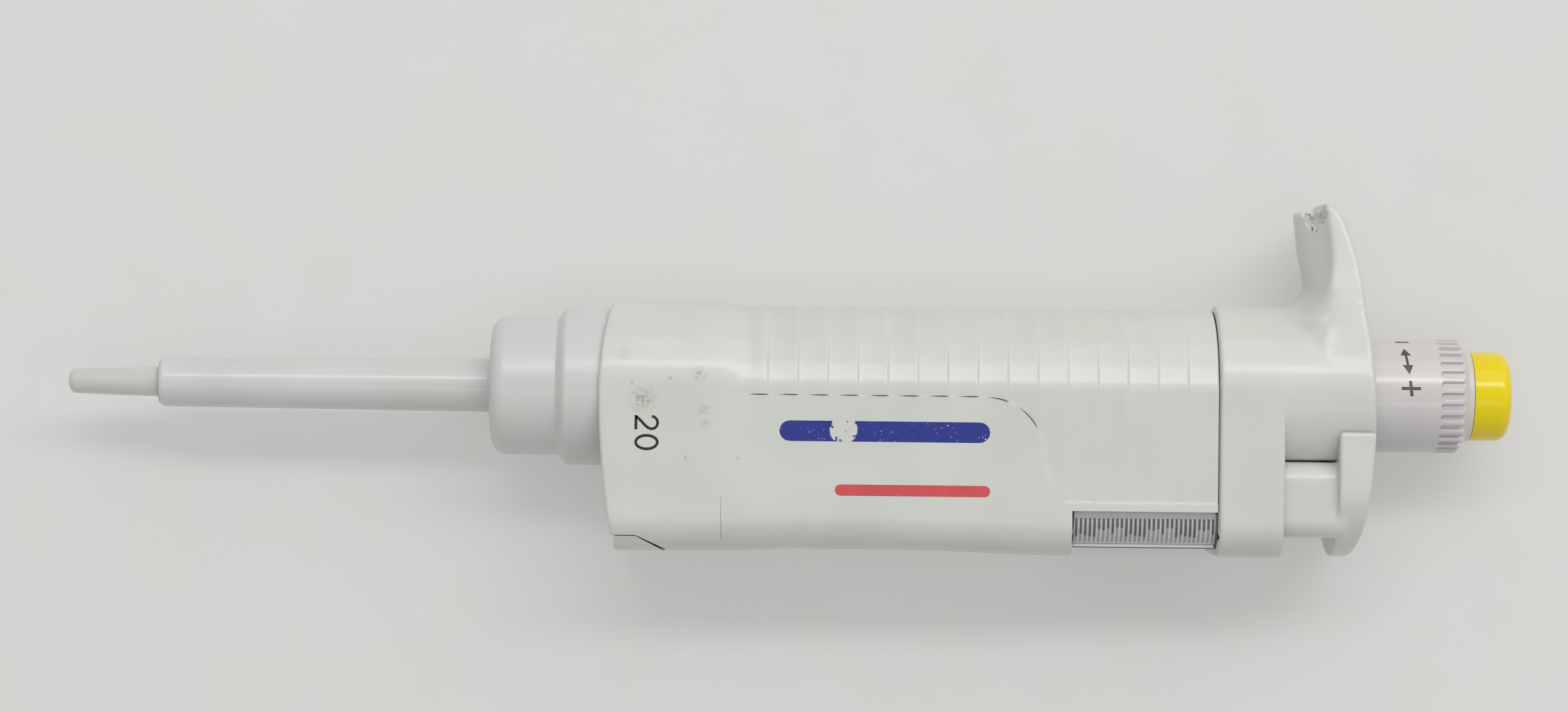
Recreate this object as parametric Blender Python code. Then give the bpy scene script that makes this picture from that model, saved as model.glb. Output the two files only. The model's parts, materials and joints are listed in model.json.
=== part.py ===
"""Adjustable single-channel micropipette, lying on its flat side.

X runs along the pipette's axis, from the tip cone's end to the push button. Y points to the finger
hook's side. Z is up from the surface that the pipette lies on. Lengths below are in millimetres.
"""

import math

import bmesh
import bpy

MM = 0.001
MERGE = 1e-7  # metres
GAP = 0.3  # left between pieces that touch

# Overall. Stations along the axis are counted from half a millimetre before the tip cone's end.
END_X = (0.5, 236.4)
CENTRE_X = (END_X[0] + END_X[1]) / 2
HALF_THICK = 14.0
FRONT_Y = -26.5
HOOK_TOP_Y = 31.1
CENTRE_Y = (FRONT_Y + HOOK_TOP_Y) / 2

# Housing cross-section
GRIP_BACK_R = 13.9
HEAD_BACK_R = 14.4
CORNER_R = 6.2
WALL = 1.4
BAND_WALL = 0.8  # the lower band is thin, because the ejector collar slides inside it

# Stations of the shells
SHELL_X = (88.0, 187.9)
BAND_END_X = 102.5
SHELF_X = 198.6
HEAD_END_X = 213.5
WINDOW_X = 164.7
WINDOW_Y = -19.3
HEAD_FLAT_Y = -10.6

# Tip cone, ejector sleeve and their collar
CONE_TIP_R = 2.0
SLEEVE_X = 15.45
CONE_SEAT_R = 2.5
CONE_SHAFT_R = 2.9
CONE_BORE_R = 0.5
TUBE_R = (4.05, 4.4)
COLLAR_X = 70.0
COLLAR_SMALL_R = 11.3
COLLAR_STEP_X = 81.0
COLLAR_LARGE_R = 12.9
COLLAR_END_X = 101.0

# Piston and its drive: 2 mm2 of piston face moves 2 microlitres per millimetre
PISTON_R = 0.8
PISTON_X = (35.0, 104.0)
ROD_R = 2.6
ROD_BORE_R = 2.95
ROD_X = (107.3, 225.6)
BLOWOUT_X = (122.0, 124.0)
NUT_X = (138.0, 143.0)
GUIDE_PIN_Y = 7.6

# Knob and push button
KNOB_R = 9.35
KNOB_X = (203.0, 230.1)
KNOB_BORE_R = 9.65
BUTTON_R = 7.3
BUTTON_X = KNOB_X[1] + GAP

# Counter: a three-drum odometer geared to the setting sleeve
COUNTER_Y = -17.5
GEAR_MODULE = 7.0 / 12.0
DRIVE_TEETH = 40
COUNTER_TEETH = 20
GEAR_X = (159.2, 162.8)
DRUM_R = 5.8
DRUM_START_X = 165.2
DRUM_WIDTH = 6.5
PINION_Y, PINION_Z = -14.6, -8.7
PINION_R = 2.0

# Ejector
ROD_Y, ROD_Z = -17.5, 9.2
EJECT_ROD_R = 1.2
KEY_X = (207.3, 213.3)
STEM_X = 196.2
STEM_Y = (-23.1, -10.9)
STEM_HALF = 12.2
EAR_Y = -5.9

scene = bpy.context.scene


# ---------------------------------------------------------------- materials


def plastic(name, colour, roughness=0.45, metallic=0.0, alpha=1.0):
    material = bpy.data.materials.new(name)
    material.use_nodes = True
    shader = material.node_tree.nodes["Principled BSDF"]
    shader.inputs["Base Color"].default_value = (*colour, 1.0)
    shader.inputs["Roughness"].default_value = roughness
    shader.inputs["Metallic"].default_value = metallic
    shader.inputs["Alpha"].default_value = alpha
    material.diffuse_color = (*colour, alpha)
    return material


for old in list(bpy.data.objects):
    bpy.data.objects.remove(old)

HOUSING = plastic("housing_plastic", (0.60, 0.62, 0.59))
CONE = plastic("cone_plastic", (0.58, 0.60, 0.56), 0.35)
KNOB = plastic("knob_plastic", (0.62, 0.62, 0.61), 0.35)
BUTTON = plastic("button_plastic", (0.88, 0.72, 0.02), 0.3)
CLEAR = plastic("clear_plastic", (0.80, 0.82, 0.84), 0.1, alpha=0.4)
INNER = plastic("inner_plastic", (0.25, 0.26, 0.28), 0.5)
DRUM = plastic("drum_plastic", (0.80, 0.80, 0.78), 0.5)
STEEL = plastic("steel", (0.60, 0.60, 0.60), 0.25, 1.0)
BRASS = plastic("brass", (0.70, 0.52, 0.25), 0.3, 1.0)
RUBBER = plastic("seal_rubber", (0.03, 0.03, 0.03), 0.7)
SEAL = plastic("seal_plastic", (0.85, 0.85, 0.82), 0.5)


# ---------------------------------------------------------------- frame


def empty(name, location, parent=None):
    made = bpy.data.objects.new(name, None)
    made.location = [value * MM for value in location]
    made.parent = parent
    scene.collection.objects.link(made)
    return made


# The main axis, with the object centred on the origin and lying on Z = 0.
AXIS = empty("main_axis", (-CENTRE_X, -CENTRE_Y, HALF_THICK))
COUNTER_AXIS = empty("counter_axis", (0, COUNTER_Y, 0), AXIS)
PINION_AXIS = empty("pinion_axis", (0, PINION_Y, PINION_Z), AXIS)
EJECT_AXIS = empty("ejector_rod_axis", (0, ROD_Y, ROD_Z), AXIS)


# ---------------------------------------------------------------- shape tools


def finish(name, bm, material, parent=AXIS):
    """Makes an object of a bmesh. With no material it is a cutter or a tool, which isn't part of the model."""
    bmesh.ops.remove_doubles(bm, verts=bm.verts, dist=MERGE)
    bmesh.ops.recalc_face_normals(bm, faces=bm.faces)
    mesh = bpy.data.meshes.new(name)
    bm.to_mesh(mesh)
    bm.free()
    mesh.shade_smooth()
    mesh.set_sharp_from_angle(angle=math.radians(35))
    made = bpy.data.objects.new(name, mesh)
    made.parent = parent
    scene.collection.objects.link(made)
    if material:
        mesh.materials.append(material)
    else:
        made.hide_render = True
        made.display_type = "WIRE"
    return made


def turned(name, profile, material, parent=AXIS, sides=24, bored=True):
    """Spins a profile of (x, radius) about the parent's X axis. A bored piece's profile is a closed loop."""
    bm = bmesh.new()
    points = [bm.verts.new((x * MM, radius * MM, 0)) for x, radius in profile]
    edges = [bm.edges.new(pair) for pair in zip(points, points[1:])]
    if bored:
        edges.append(bm.edges.new((points[-1], points[0])))
    bmesh.ops.spin(
        bm, geom=points + edges, axis=(1, 0, 0), cent=(0, 0, 0),
        angle=2 * math.pi, steps=sides, use_merge=True,
    )
    return finish(name, bm, material, parent)


def tube(name, xs, inner, outer, material, parent=AXIS, sides=24):
    profile = [(xs[0], inner), (xs[0], outer), (xs[1], outer), (xs[1], inner)]
    return turned(name, profile, material, parent, sides)


def pin(name, xs, radius, material, parent=AXIS, sides=16):
    profile = [(xs[0], 0), (xs[0], radius), (xs[1], radius), (xs[1], 0)]
    return turned(name, profile, material, parent, sides, bored=False)


def extruded(name, outline, along, start, end, material, parent=AXIS):
    """Extrudes an outline along X, given as (y, z), or along Z, given as (x, y)."""
    bm = bmesh.new()
    if along == "X":
        corners = [bm.verts.new((start * MM, y * MM, z * MM)) for y, z in outline]
        shift = ((end - start) * MM, 0, 0)
    else:
        corners = [bm.verts.new((x * MM, y * MM, start * MM)) for x, y in outline]
        shift = (0, 0, (end - start) * MM)
    base = bm.faces.new(corners)
    grown = bmesh.ops.extrude_face_region(bm, geom=[base], use_keep_orig=True)
    moved = [item for item in grown["geom"] if isinstance(item, bmesh.types.BMVert)]
    bmesh.ops.translate(bm, verts=moved, vec=shift)
    return finish(name, bm, material, parent)


def block(name, xs, ys, zs, material, parent=AXIS):
    outline = [(ys[0], zs[0]), (ys[1], zs[0]), (ys[1], zs[1]), (ys[0], zs[1])]
    return extruded(name, outline, "X", xs[0], xs[1], material, parent)


def combine(piece, tool, operation="DIFFERENCE"):
    modifier = piece.modifiers.new(f"{operation.lower()}_{tool.name}", "BOOLEAN")
    modifier.object = tool
    modifier.operation = operation
    modifier.solver = "EXACT"
    return piece


def coil(name, xs, turns, radius, wire, material, parent=AXIS):
    """A helical spring about the parent's X axis."""
    points_per_turn = 10
    count = int(turns * points_per_turn) + 1
    curve = bpy.data.curves.new(name, "CURVE")
    curve.dimensions = "3D"
    curve.bevel_depth = wire / 2 * MM
    curve.bevel_resolution = 0
    curve.use_fill_caps = True
    line = curve.splines.new("POLY")
    line.points.add(count - 1)
    first, last = xs[0] + wire / 2, xs[1] - wire / 2
    for index in range(count):
        angle = 2 * math.pi * index / points_per_turn
        x = first + (last - first) * index / (count - 1)
        spot = (x, radius * math.cos(angle), radius * math.sin(angle))
        line.points[index].co = (*[value * MM for value in spot], 1)
    curve.materials.append(material)
    made = bpy.data.objects.new(name, curve)
    made.parent = parent
    scene.collection.objects.link(made)
    return made


def arc(centre, radii, start, end, steps):
    """Points of an elliptical arc, in degrees from +Y towards +Z."""
    angles = [math.radians(start + (end - start) * i / steps) for i in range(steps + 1)]
    return [
        (centre[0] + radii[0] * math.cos(a), centre[1] + radii[1] * math.sin(a))
        for a in angles
    ]


def housing_outline(back, inset=0.0, cut_y=None):
    """The shells' cross-section as (y, z): round at the back, flat sides, rounded front corners.

    A cut_y leaves out what lies in front of it.
    """
    half = HALF_THICK - inset
    outline = arc((0, 0), (back - inset, half), -90, 90, 16)
    if cut_y is not None:
        reach = math.asin(-cut_y / half)
        sides = math.degrees(reach)
        return arc((0, 0), (half, half), -90 - sides, -90, 4)[:-1] + outline + (
            arc((0, 0), (half, half), 90, 90 + sides, 4)[1:]
        )
    radius = CORNER_R - inset
    front = FRONT_Y + inset
    corner_y, corner_z = front + radius, half - radius
    outline += arc((corner_y, corner_z), (radius, radius), 90, 180, 5)
    outline += arc((corner_y, -corner_z), (radius, radius), 180, 270, 5)
    return outline


def gear_outline(teeth):
    """Trapezoidal teeth on the module, as (y, z)."""
    pitch_r = GEAR_MODULE * teeth / 2
    root, tip = pitch_r - 1.25 * GEAR_MODULE, pitch_r + 0.85 * GEAR_MODULE
    step = 2 * math.pi / teeth
    outline = []
    for tooth in range(teeth):
        for share, radius in ((-0.33, root), (-0.12, tip), (0.12, tip), (0.33, root)):
            angle = (tooth + share) * step
            outline.append((radius * math.cos(angle), radius * math.sin(angle)))
    return outline


def gear(name, teeth, bore, parent, phase=0.0):
    made = extruded(name, gear_outline(teeth), "X", *GEAR_X, BRASS, parent)
    made.rotation_euler.x = phase
    hole = pin(f"{name}_bore", (GEAR_X[0] - 2, GEAR_X[1] + 2), bore, None, parent, 20)
    return combine(made, hole)


# ---------------------------------------------------------------- lower part


def tip_cone():
    profile = [
        (END_X[0], CONE_BORE_R), (END_X[0], CONE_TIP_R - 0.3), (END_X[0] + 0.4, CONE_TIP_R),
        (SLEEVE_X, CONE_SEAT_R), (17, CONE_SHAFT_R), (71.8, CONE_SHAFT_R), (71.8, 4.5), (76, 4.5), (76, 1.1),
        (21, 1.1), (20, CONE_BORE_R),
    ]
    return turned("tip_cone", profile, CONE)


def ejector_sleeve():
    """The thin tube and its stepped collar are one moulding."""
    profile = [
        (SLEEVE_X, 3.3), (SLEEVE_X, TUBE_R[0] - 0.7), (SLEEVE_X + 0.7, TUBE_R[0]),
        (COLLAR_X, TUBE_R[1]), (COLLAR_X, COLLAR_SMALL_R - 2.8), (70.8, COLLAR_SMALL_R - 0.8),
        (72.8, COLLAR_SMALL_R), (COLLAR_STEP_X - 0.4, COLLAR_SMALL_R),
        (COLLAR_STEP_X + 0.2, COLLAR_LARGE_R - 0.7), (82.4, COLLAR_LARGE_R),
        (COLLAR_END_X, COLLAR_LARGE_R), (COLLAR_END_X, 11.8), (83.6, 11.8), (82.0, 10.2),
        (71.3, 10.2), (71.3, 3.4),
    ]
    return turned("ejector_sleeve", profile, HOUSING, sides=32)


def piston_unit():
    turned(
        "piston_housing",
        [
            (73, 4.8), (73, 6.3), (79, 6.3), (82, 7.8), (96, 7.8), (96, 11), (98.5, 11),
            (98.5, 9.2), (108, 9.2), (108, 6), (81, 6), (81, 3.6), (76.3, 3.6), (76.3, 4.8),
        ],
        CONE,
    )
    tube("housing_gasket", (98.7, 99.6), 9.5, 11.0, RUBBER, sides=20)
    tube("piston_seal", (77.9, 80.7), 0.95, 3.3, SEAL, sides=16)
    ring = arc((77.15, 2.4), (0.55, 0.55), 0, 315, 7)
    turned("seal_o_ring", ring, RUBBER, sides=16)
    tube("seal_retainer", (81.3, 83.0), 1.1, 5.6, STEEL, sides=16)
    coil("piston_spring", (83.3, 103.7), 9, 3.6, 0.8, STEEL)
    pin("piston", PISTON_X, PISTON_R, STEEL, sides=12)
    head = [(104.3, 0), (104.3, 5), (105.6, 5), (107, 3), (107, 0)]
    turned("piston_head", head, BRASS, sides=16, bored=False)


# ---------------------------------------------------------------- drive


def drive():
    """The hexagonal rod carries the stop collar, turns the setting sleeve and slides through it."""
    stop_x = BLOWOUT_X[1] + 10 + GAP
    rod = [
        (ROD_X[0], 0), (ROD_X[0], ROD_R), (stop_x, ROD_R), (stop_x, 4.2), (stop_x + 2, 4.2),
        (stop_x + 2, ROD_R), (ROD_X[1], ROD_R), (ROD_X[1], 0),
    ]
    turned("push_rod", rod, STEEL, sides=6, bored=False)
    coil("blowout_spring", (112.3, 121.7), 4, 6.2, 1.2, STEEL)
    tube("blowout_ring", BLOWOUT_X, 3.0, 8.2, BRASS, sides=20)

    sleeve = turned(
        "setting_sleeve",
        [
            (137, 0), (137, 5), (158.9, 5), (158.9, 6.5), (163.1, 6.5),
            (163.1, 5), (182, 5), (182, 0),
        ],
        BRASS, sides=20, bored=False,
    )
    combine(sleeve, pin("sleeve_bore", (130, 190), ROD_BORE_R, None, sides=6))
    gear("drive_gear", DRIVE_TEETH, 6.8, AXIS)

    nut = tube("volume_nut", NUT_X, 5.3, 9.2, BRASS, sides=20)
    hole = pin("guide_hole", (NUT_X[0] - 5, NUT_X[1] + 5), 1.15, None, PIN_AXIS, 12)
    combine(nut, hole)
    pin("guide_pin", (130, 156.5), 0.9, STEEL, PIN_AXIS, sides=12)
    bearing = tube("sleeve_bearing", (153.5, 157.2), 5.3, 9.2, BRASS, sides=20)
    combine(bearing, pin("pin_seat", (150, 160), 1.15, None, PIN_AXIS, 12))
    tube("rod_bush", (182.5, 186.2), ROD_BORE_R + 0.1, 7.7, SEAL, sides=20)


PIN_AXIS = empty("guide_pin_axis", (0, GUIDE_PIN_Y, 0), AXIS)


def chassis():
    """The lower chassis takes the piston unit's thread, the springs and the ejector spring's seat."""
    lower = turned(
        "lower_chassis",
        [
            (99.8, 9.5), (99.8, 11.3), (103.5, 11.3), (103.5, 12.2), (157.4, 12.2), (157.4, 9.5),
            (112, 9.5), (112, 3.2), (110, 3.2), (110, 9.5),
        ],
        INNER,
    )
    seat = block("spring_seat", (128, 130.5), (-20.2, -8.5), (5, 11.6), None)
    combine(lower, seat, "UNION")
    combine(lower, pin("seat_hole", (120, 140), 1.6, None, EJECT_AXIS))
    tube("upper_chassis", (164.0, 186.8), 8.0, 11.3, INNER, sides=20)


# ---------------------------------------------------------------- counter


def drum_stations(index):
    start = DRUM_START_X + index * (DRUM_WIDTH + GAP)
    return start, start + DRUM_WIDTH


def counter():
    for index, name in enumerate(("tenths_drum", "units_drum", "tens_drum")):
        tube(name, drum_stations(index), 1.3, DRUM_R, DRUM, COUNTER_AXIS, 20)
    # The counter gear is turned by half a tooth so that it meshes with the drive gear at rest.
    gear("counter_gear", COUNTER_TEETH, 1.3, COUNTER_AXIS, math.pi / COUNTER_TEETH)
    pin("counter_axle", (158.6, 187.0), 1.0, STEEL, COUNTER_AXIS, sides=12)
    pin("pinion_shaft", (163.0, 187.0), 0.7, STEEL, PINION_AXIS, sides=12)
    for index in range(2):
        centre = drum_stations(index)[1] + GAP / 2
        carry_pinion(f"carry_pinion_{index + 1}", centre)
    plate = [(-12.4, -10.6), (-17.2, -10.6), (-23.6, -5.2), (-23.6, 5.2), (-20, 7.4), (-12.4, 7.4)]
    frame = extruded("counter_frame", plate, "X", 163.3, 164.7, INNER)
    for name, xs, ys, zs in (
        ("frame_rail_1", (163.5, 187.0), (-15.0, -12.4), (6.3, 7.4)),
        ("frame_rail_2", (163.5, 187.0), (-20.6, -19.0), (-8.0, -6.4)),
    ):
        combine(frame, block(name, xs, ys, zs, None), "UNION")
    combine(frame, extruded("frame_far_plate", plate, "X", 185.8, 187.1, None), "UNION")
    combine(frame, pin("axle_hole", (155, 195), 1.3, None, COUNTER_AXIS, 12))
    combine(frame, pin("pinion_hole", (155, 195), 1.0, None, PINION_AXIS, 12))
    combine(frame, pin("chassis_cut", (155, 195), 11.3 + GAP, None, sides=40))


def carry_pinion(name, centre):
    """An eight-toothed transfer pinion between two drums."""
    teeth = 8
    outline = []
    for tooth in range(teeth):
        for share, radius in ((-0.3, 1.3), (-0.15, PINION_R), (0.15, PINION_R), (0.3, 1.3)):
            angle = (tooth + share) * 2 * math.pi / teeth
            outline.append((radius * math.cos(angle), radius * math.sin(angle)))
    made = extruded(name, outline, "X", centre - 1.4, centre + 1.4, SEAL, PINION_AXIS)
    return combine(made, pin(f"{name}_bore", (centre - 3, centre + 3), 0.9, None, PINION_AXIS, 12))


def scale_strips():
    """The ribbed strips beside the drums, seen through the window."""
    inset, thick = 1.9, 0.9
    half, radius = HALF_THICK - inset, CORNER_R - inset
    corner = (FRONT_Y + inset + radius, half - radius)
    for name, side in (("scale_strip_upper", 1), ("scale_strip_lower", -1)):
        outside = [(-18.0, half)] + arc(corner, (radius, radius), 90, 165, 5)
        inside = arc(corner, (radius - thick, radius - thick), 165, 90, 5) + [(-18.0, half - thick)]
        outline = [(y, side * z) for y, z in outside + inside]
        extruded(name, outline, "X", WINDOW_X + GAP, SHELL_X[1] - 0.2, DRUM)


# ---------------------------------------------------------------- shells


def grip_shell():
    blank_x = (SHELL_X[0] - 3, SHELL_X[1])
    shell = extruded("grip_shell", housing_outline(GRIP_BACK_R), "X", *blank_x, HOUSING)
    cavity = housing_outline(GRIP_BACK_R, WALL)
    combine(shell, extruded("shell_cavity", cavity, "X", blank_x[0] - 5, blank_x[1] + 5, None))
    band = housing_outline(GRIP_BACK_R, BAND_WALL)
    combine(shell, extruded("band_cavity", band, "X", blank_x[0] - 8, BAND_END_X, None))
    # The open end curves inwards at the back and towards the front face, where it ends in a notch for
    # the carrier's nose.
    mouth = [
        (80, 20), (90.8, 20), (89.7, 14), (88.9, 10), (88.2, 5), (SHELL_X[0], 0),
        (88.4, -10), (89.3, -18), (90.2, -23.5),
        (94.4, -23.5), (100.0, -26.6), (101.0, -30), (80, -30),
    ]
    combine(shell, extruded("mouth_cut", mouth, "Z", -20, 20, None))
    window = block(
        "window_cut", (WINDOW_X - GAP, SHELL_X[1] + 5), (-30, WINDOW_Y + GAP), (-20, 20), None
    )
    combine(shell, window)


def display_window():
    pane = extruded(
        "display_window", housing_outline(GRIP_BACK_R), "X", WINDOW_X, SHELL_X[1], CLEAR
    )
    cavity = housing_outline(GRIP_BACK_R, 1.3)
    combine(pane, extruded("pane_cavity", cavity, "X", WINDOW_X - 5, SHELL_X[1] + 5, None))
    combine(pane, block("pane_cut", (WINDOW_X - 5, 200), (WINDOW_Y, 20), (-20, 20), None))


# Finger hook: (y, crease x, front x). The front is the side that rests on the finger.
HOOK_SECTIONS = [
    (2.0, 199.0, 197.6),
    (8.0, 201.0, 199.2),
    (13.0, 203.6, 199.3),
    (14.9, 204.8, 199.6),
    (16.2, 205.4, 201.8),
    (18.0, 205.9, 202.8),
    (21.0, 206.2, 202.2),
    (25.0, 206.2, 201.6),
    (29.3, 205.6, 201.2),
    (HOOK_TOP_Y, 205.2, 203.4),
]
HOOK_BACK_X = 216.0
HOOK_SWEEP = 0.005  # 1/mm: how the face beyond the hook sweeps towards the tip
FLANK_TILT = (18.0, 8.0)  # degrees from upright, beside the barrel and at the hook's top
FLANK_EASE_Y = (10.0, 20.0)  # where the tilt changes from one to the other


def hook_half_width(y):
    """The flanks leave the barrel's round at a tangent and lean together towards the hook's top."""
    near, far = (math.tan(math.radians(tilt)) for tilt in FLANK_TILT)
    start = HALF_THICK * math.sin(math.radians(FLANK_TILT[0]))
    first, last = FLANK_EASE_Y
    eased = min(max(y - first, 0.0), last - first)
    inward = (min(max(y, start), first) - start) * near
    inward += eased * near + (far - near) * eased**2 / (2 * (last - first))
    inward += max(y - last, 0.0) * far
    return HALF_THICK * math.cos(math.radians(FLANK_TILT[0])) - inward


def finger_hook():
    """A horn lofted through sections across Y, rounded on the side that rests on the finger."""
    bm = bmesh.new()
    loops = []
    for y, crease, front in HOOK_SECTIONS:
        half = hook_half_width(y)
        around = [
            (crease - (crease - front) * math.cos(a), half * math.sin(a))
            for a in (math.radians(-90 + 180 * i / 8) for i in range(9))
        ]
        around += [(HOOK_BACK_X, half), (HOOK_BACK_X, -half)]
        loops.append([bm.verts.new((x * MM, y * MM, z * MM)) for x, z in around])
    for low, high in zip(loops, loops[1:]):
        for i in range(len(low)):
            j = (i + 1) % len(low)
            bm.faces.new((low[i], low[j], high[j], high[i]))
    bm.faces.new(loops[0])
    bm.faces.new(loops[-1])
    return finish("finger_hook", bm, None)


def head_end_profile():
    """Everything beyond the head's end face, as (x, y): upright at the axis, swept back up the hook."""
    face = [(HEAD_END_X, -30), (HEAD_END_X, -5)]
    face += [(HEAD_END_X - HOOK_SWEEP * y * y, y) for y in (5, 10, 15, 19, 23, 26)]
    face += [(208.2, 29.0), (206.6, 30.6), (205.2, HOOK_TOP_Y + 0.2), (205.2, 40)]
    return [*face, (230, 40), (230, -30)]


def upper_housing():
    skirt_x = (SHELL_X[1] + 0.4, SHELF_X)
    head = extruded("upper_housing", housing_outline(HEAD_BACK_R), "X", *skirt_x, HOUSING)
    barrel_outline = housing_outline(HEAD_BACK_R, cut_y=HEAD_FLAT_Y)
    barrel = extruded("barrel", barrel_outline, "X", skirt_x[0] + 5, HEAD_END_X, None)
    combine(head, barrel, "UNION")
    combine(head, finger_hook(), "UNION")
    combine(head, extruded("end_cut", head_end_profile(), "Z", -20, 20, None))
    cavity = housing_outline(HEAD_BACK_R, WALL)
    combine(head, extruded("head_cavity", cavity, "X", 180, SHELF_X - WALL, None))
    combine(head, pin("knob_bore", (190, 220), KNOB_BORE_R, None, sides=32))
    slot = block(
        "stem_slot", (190, SHELF_X + 2), (STEM_Y[0] - GAP, STEM_Y[1] + GAP),
        (-STEM_HALF - GAP, STEM_HALF + GAP), None,
    )
    combine(head, slot)


# ---------------------------------------------------------------- ejector


def ejector_key():
    """A thumb plate shaped like the housing's front, on a stem that slides into the shelf."""
    ear_r = HALF_THICK + GAP
    inner = math.degrees(math.asin(-STEM_Y[1] / ear_r))
    outer = math.degrees(math.asin(-EAR_Y / ear_r))
    rim = arc((0, 0), (ear_r, ear_r), 90 + inner, 90 + outer, 3)
    plate_outline = [(y, -z) for y, z in rim]
    plate_outline += [(EAR_Y, -HALF_THICK)]
    plate_outline += arc((-14.0, 0), (-FRONT_Y - 14.0, HALF_THICK), 270, 90, 14)
    plate_outline += [(EAR_Y, HALF_THICK)]
    plate_outline += rim[::-1]
    key = extruded("ejector_key", plate_outline, "X", *KEY_X, HOUSING)
    # The thumb face slopes down to the front.
    slope = [(213.4, -4), (211.9, -22), (210.9, -25), (209.4, -27), (216, -27), (216, -4)]
    combine(key, extruded("thumb_slope", slope, "Z", -20, 20, None))
    corner = 3.5
    y0, y1 = STEM_Y
    stem_outline = [(y1, -STEM_HALF), (y1, STEM_HALF)]
    stem_outline += arc((y0 + corner, STEM_HALF - corner), (corner, corner), 90, 180, 4)
    stem_outline += arc((y0 + corner, corner - STEM_HALF), (corner, corner), 180, 270, 4)
    stem = extruded("stem", stem_outline, "X", STEM_X, KEY_X[0] + 1.0, None)
    combine(key, stem, "UNION")
    combine(key, pin("key_hole", (190, 201), EJECT_ROD_R + GAP, None, EJECT_AXIS, 12))


def ejector_link():
    pin("ejector_rod", (108.8, 200.6), EJECT_ROD_R, STEEL, EJECT_AXIS, sides=12)
    tube("spring_clip", (155.6, 156.6), EJECT_ROD_R + 0.1, 3.0, STEEL, EJECT_AXIS, 12)
    coil("ejector_spring", (130.8, 155.3), 9, 2.1, 0.6, STEEL, EJECT_AXIS)

    # The carrier fills the shell's front, hugs the collar and shows its nose in the notch.
    inner_front = housing_outline(GRIP_BACK_R, WALL + GAP)
    carrier = extruded("ejector_carrier", inner_front, "X", 90.8, 112.0, HOUSING)
    nose_x = (90.6, 100.0)
    nose = extruded("carrier_nose", housing_outline(GRIP_BACK_R, 0.05), "X", *nose_x, None)
    wedge = [(80, -23.9), (94.2, -23.9), (99.2, -26.7), (99.2, -30), (80, -30)]
    keep = extruded("nose_wedge", wedge, "Z", -20, 20, None)
    combine(nose, keep, "INTERSECT")
    combine(carrier, nose, "UNION")
    pocket = housing_outline(GRIP_BACK_R, WALL + GAP + 1.6)
    combine(carrier, extruded("carrier_pocket", pocket, "X", 94.0, 108.4, None))
    combine(carrier, block("carrier_trim", (80, 120), (-13.4, 20), (-20, 20), None))
    combine(carrier, pin("collar_cut", (80, 120), 13.3, None, sides=40))
    combine(carrier, pin("carrier_hole", (104, 120), EJECT_ROD_R + GAP, None, EJECT_AXIS, 12))


# ---------------------------------------------------------------- knob


def knob():
    profile = [
        (KNOB_X[0], 7.9), (KNOB_X[0], KNOB_R), (227.9, KNOB_R), (228.6, 8.8), (229.0, 7.7),
        (KNOB_X[1], 7.5), (KNOB_X[1], 6.3), (227.6, 6.3), (227.6, ROD_BORE_R),
        (224.6, ROD_BORE_R), (224.6, 7.9),
    ]
    turned("volume_knob", profile, KNOB, sides=30)
    screw = [
        (225.9, 0), (225.9, 1.2), (227.9, 1.2), (227.9, 3.4), (229.4, 3.4), (229.4, 0),
    ]
    turned("knob_screw", screw, STEEL, sides=12, bored=False)
    cap = [
        (BUTTON_X, 0), (BUTTON_X, 4.6), (228.2, 4.6), (228.2, 6.0), (BUTTON_X, 6.0), (BUTTON_X, BUTTON_R),
        (END_X[1] - 2.2, BUTTON_R), (END_X[1] - 0.9, BUTTON_R - 0.5),
        (END_X[1] - 0.2, BUTTON_R - 1.4), (END_X[1], BUTTON_R - 2.3), (END_X[1], 0),
    ]
    turned("button_cap", cap, BUTTON, sides=30, bored=False)


tip_cone()
ejector_sleeve()
piston_unit()
drive()
chassis()
counter()
scale_strips()
grip_shell()
display_window()
upper_housing()
ejector_key()
ejector_link()
knob()
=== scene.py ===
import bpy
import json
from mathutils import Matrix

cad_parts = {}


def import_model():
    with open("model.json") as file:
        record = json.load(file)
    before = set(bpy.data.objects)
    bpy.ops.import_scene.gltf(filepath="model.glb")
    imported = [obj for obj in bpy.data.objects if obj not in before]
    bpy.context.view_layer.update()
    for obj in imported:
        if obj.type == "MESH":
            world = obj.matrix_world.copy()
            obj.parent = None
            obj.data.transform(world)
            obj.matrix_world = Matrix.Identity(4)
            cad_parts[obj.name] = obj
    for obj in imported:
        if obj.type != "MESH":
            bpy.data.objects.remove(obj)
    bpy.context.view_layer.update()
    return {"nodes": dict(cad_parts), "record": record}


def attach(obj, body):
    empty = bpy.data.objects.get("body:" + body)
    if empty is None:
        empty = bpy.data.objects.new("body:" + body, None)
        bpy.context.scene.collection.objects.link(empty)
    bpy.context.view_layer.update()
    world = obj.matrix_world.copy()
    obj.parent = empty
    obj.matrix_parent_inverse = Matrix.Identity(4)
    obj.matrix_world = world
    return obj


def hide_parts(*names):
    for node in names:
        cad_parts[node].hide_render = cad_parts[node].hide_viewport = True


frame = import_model()

import json
import math

import bmesh
import bpy
import numpy as np
from mathutils import Matrix, Vector

# Lengths are in millimetres. X runs along the pipette's axis from the tip cone's end, Y towards the
# finger hook from that axis, and Z up from it. ORIGIN is that frame's place in the CAD's frame.
MM = 0.001
ORIGIN = Vector((-118.45, -2.3, 14.0))

# The camera looks straight down. The pipette lies a little askew in its view.
VIEW_X, VIEW_Y = 117.8, 5.34
VIEW_HEIGHT = 650.0
VIEW_WIDTH = 257.6
VIEW_TURN = math.radians(0.65)
SENSOR = 36.0

scene = bpy.context.scene


def world(x, y, z):
    return (Vector((x, y, z)) + ORIGIN) * MM


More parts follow.
